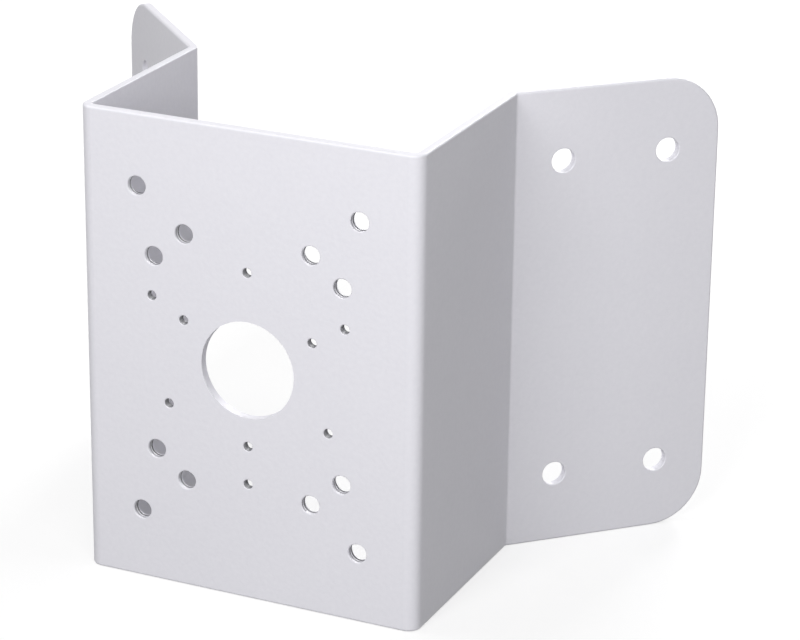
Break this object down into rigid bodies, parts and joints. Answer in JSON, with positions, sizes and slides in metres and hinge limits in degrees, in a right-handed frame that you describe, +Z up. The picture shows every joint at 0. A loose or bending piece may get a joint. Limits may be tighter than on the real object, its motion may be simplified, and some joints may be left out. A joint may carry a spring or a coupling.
{
  "type": "camera corner mount bracket",
  "caption": "Folded sheet-steel bracket that carries a security camera on an outside building corner: drilled front plate, side walls and angled wall flanges.",
  "frame": {"origin": "on the lower edges' plane, in the middle of the bracket's width and depth", "axes": "+X to the right as seen from the camera's side, +Y from the front plate towards the building, +Z up"},
  "size_m": [0.2352, 0.135, 0.17],
  "materials": {
    "powder_coat": "fine-textured off-white polyester powder coat, satin, all over the steel sheet"
  },
  "bodies": {
    "root": {"corner_bracket": "powder_coat"}
  },
  "joints": []
}
